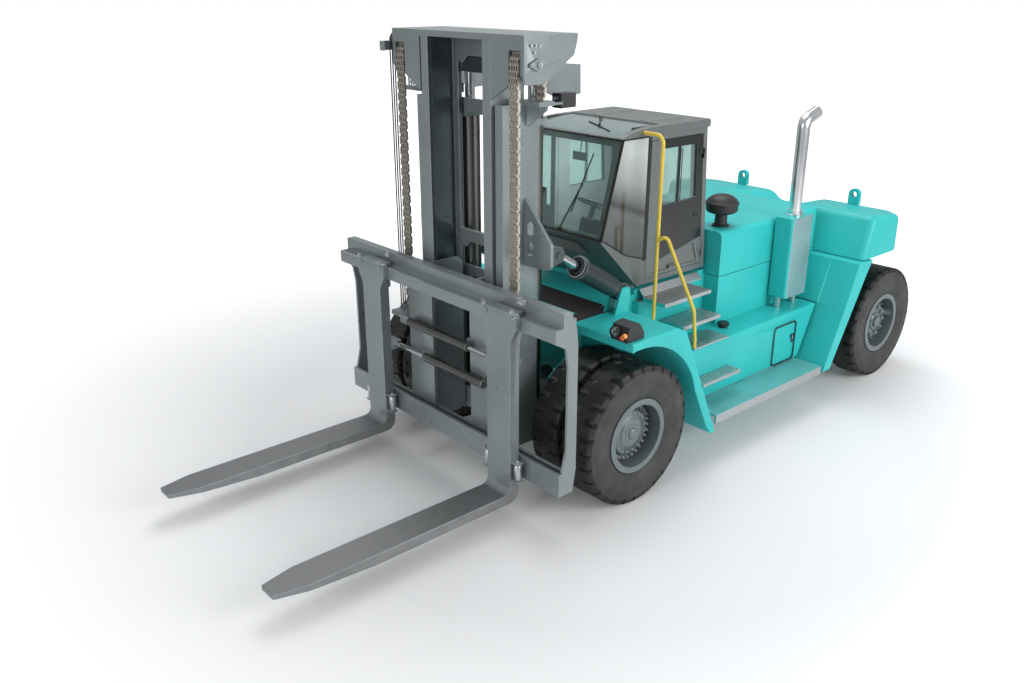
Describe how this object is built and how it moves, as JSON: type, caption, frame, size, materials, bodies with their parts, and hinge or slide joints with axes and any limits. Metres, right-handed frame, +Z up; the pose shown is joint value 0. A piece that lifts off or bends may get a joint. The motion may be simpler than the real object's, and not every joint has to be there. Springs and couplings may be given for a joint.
{
  "type": "heavy diesel forklift truck",
  "caption": "Heavy counterbalance diesel forklift with two-stage mast, fork positioners, central cab, dual front tyres and steered rear wheels.",
  "frame": {"origin": "middle of the truck's footprint on the floor, halfway between fork tips and rear tyres", "axes": "+Z up, forks face -Y, the driver's left side is +X"},
  "size_m": [3.364, 9.078, 4.374],
  "materials": {
    "body_teal": "satin",
    "mast_grey": "satin",
    "frame_dark": "satin",
    "cab_grey": "gloss",
    "door_dark": "satin",
    "step_silver": "satin",
    "rail_yellow": "gloss",
    "rim_grey": "satin",
    "tyre_black": "matte",
    "glass_tint": "gloss",
    "rod_chrome": "polished",
    "stack_chrome": "polished",
    "axle_iron": "satin",
    "chain_brass": "satin",
    "hose_rubber": "matte",
    "plastic_black": "matte",
    "lamp_grey": "satin",
    "seat_fabric": "matte"
  },
  "bodies": {
    "chassis": {"chassis_frame": "frame_dark", "mast_mount": "frame_dark", "front_fenders": "body_teal", "fender_lamps": "lamp_grey", "body_cover": "body_teal", "side_tanks": "body_teal", "engine_block": "axle_iron", "side_covers": "body_teal", "muffler_box": "body_teal", "exhaust_stack": "stack_chrome", "counterweight": "body_teal", "rear_wheel_walls": "body_teal", "cab_steps": "step_silver", "running_boards": "step_silver", "handrails": "rail_yellow", "cab_shell": "cab_grey", "cab_roof": "cab_grey", "cab_glass": "glass_tint", "driver_seat": "seat_fabric", "cab_controls": "plastic_black", "drive_axle": "axle_iron", "steer_axle": "axle_iron"},
    "front_wheels_left": {"front_tyres_left": "tyre_black", "front_rims_left": "rim_grey"},
    "front_wheels_right": {"front_tyres_right": "tyre_black", "front_rims_right": "rim_grey"},
    "knuckle_left": {"steer_knuckle_left": "axle_iron"},
    "knuckle_right": {"steer_knuckle_right": "axle_iron"},
    "rear_wheel_left": {"rear_tyre_left": "tyre_black", "rear_rim_left": "rim_grey"},
    "rear_wheel_right": {"rear_tyre_right": "tyre_black", "rear_rim_right": "rim_grey"},
    "hood": {"engine_hood": "body_teal", "air_precleaner": "plastic_black"},
    "hatch": {"tank_hatch": "body_teal"},
    "door_left": {"cab_door_left": "door_dark", "door_glass_left": "glass_tint"},
    "door_right": {"cab_door_right": "door_dark", "door_glass_right": "glass_tint"},
    "mast": {"outer_mast": "mast_grey", "lift_cylinders": "mast_grey", "work_lights": "lamp_grey", "lift_chains_rear": "chain_brass", "mast_hoses_rear": "hose_rubber"},
    "inner_stage": {"inner_mast": "mast_grey", "mast_head": "mast_grey", "lift_rods": "rod_chrome", "chain_sheaves": "mast_grey", "lift_chains_front": "chain_brass", "mast_hoses_front": "hose_rubber"},
    "carriage": {"fork_carriage": "mast_grey", "positioner_cylinders": "mast_grey"},
    "left_fork": {"fork_left": "mast_grey"},
    "right_fork": {"fork_right": "mast_grey"},
    "tilt_barrels": {"tilt_cylinders": "mast_grey"},
    "tilt_rod_pair": {"tilt_rods": "rod_chrome"}
  },
  "joints": [
    {"name": "front_wheels_left_spin", "type": "hinge", "parent": "chassis", "child": "front_wheels_left", "pos_m": [1.29, -0.928, 0.712], "axis": [1, 0, 0], "continuous": true},
    {"name": "front_wheels_right_spin", "type": "hinge", "parent": "chassis", "child": "front_wheels_right", "pos_m": [-1.29, -0.928, 0.712], "axis": [1, 0, 0], "continuous": true},
    {"name": "steer_left", "type": "hinge", "parent": "chassis", "child": "knuckle_left", "pos_m": [1.1, 3.827, 0.712], "axis": [0, 0, 1], "range_deg": [-45, 45]},
    {"name": "steer_right", "type": "hinge", "parent": "chassis", "child": "knuckle_right", "pos_m": [-1.1, 3.827, 0.712], "axis": [0, 0, 1], "range_deg": [-45, 45]},
    {"name": "rear_wheel_left_spin", "type": "hinge", "parent": "knuckle_left", "child": "rear_wheel_left", "pos_m": [1.4245, 3.827, 0.712], "axis": [1, 0, 0], "continuous": true},
    {"name": "rear_wheel_right_spin", "type": "hinge", "parent": "knuckle_right", "child": "rear_wheel_right", "pos_m": [-1.4245, 3.827, 0.712], "axis": [1, 0, 0], "continuous": true},
    {"name": "mast_tilt", "type": "hinge", "parent": "chassis", "child": "mast", "pos_m": [0, -1.208, 0.56], "axis": [1, 0, 0], "range_deg": [-10, 5]},
    {"name": "tilt_cylinder_swing", "type": "hinge", "parent": "chassis", "child": "tilt_barrels", "pos_m": [0, -0.428, 1.88], "axis": [1, 0, 0], "range_deg": [-11.5, 6]},
    {"name": "tilt_rod_stroke", "type": "slide", "parent": "tilt_barrels", "child": "tilt_rod_pair", "axis": [0, -0.8551, 0.5184], "range_m": [-0.27, 0.14]},
    {"name": "inner_mast_lift", "type": "slide", "parent": "mast", "child": "inner_stage", "axis": [0, 0, 1], "range_m": [-0.085, 2], "deforming": ["lift_chains_rear", "mast_hoses_rear"]},
    {"name": "carriage_lift", "type": "slide", "parent": "inner_stage", "child": "carriage", "axis": [0, 0, 1], "range_m": [-0.085, 2], "deforming": ["lift_chains_front", "mast_hoses_front"]},
    {"name": "fork_left_shift", "type": "slide", "parent": "carriage", "child": "left_fork", "axis": [1, 0, 0], "range_m": [-0.3, 0.3]},
    {"name": "fork_right_shift", "type": "slide", "parent": "carriage", "child": "right_fork", "axis": [1, 0, 0], "range_m": [-0.3, 0.3]},
    {"name": "cab_door_left_hinge", "type": "hinge", "parent": "chassis", "child": "door_left", "pos_m": [0.714, 1.122, 1.84], "axis": [0, -0.0715, 0.9974], "range_deg": [0, 95]},
    {"name": "cab_door_right_hinge", "type": "hinge", "parent": "chassis", "child": "door_right", "pos_m": [-0.714, 1.122, 1.84], "axis": [0, -0.0715, 0.9974], "range_deg": [-95, 0]},
    {"name": "hood_hinge", "type": "hinge", "parent": "chassis", "child": "hood", "pos_m": [0, 3.152, 2.2], "axis": [1, 0, 0], "range_deg": [-50, 0]},
    {"name": "tank_hatch_hinge", "type": "hinge", "parent": "chassis", "child": "hatch", "pos_m": [1.25, 1.882, 0.7675], "axis": [0, 0, 1], "range_deg": [-110, 0]}
  ],
  "couplings": [
    {"joint": "steer_right", "follows": "steer_left", "ratio": 1},
    {"joint": "tilt_cylinder_swing", "follows": "mast_tilt", "ratio": 1.12},
    {"joint": "tilt_rod_stroke", "follows": "mast_tilt", "m_per_rad": 1.526},
    {"joint": "carriage_lift", "follows": "inner_mast_lift", "ratio": 1}
  ]
}
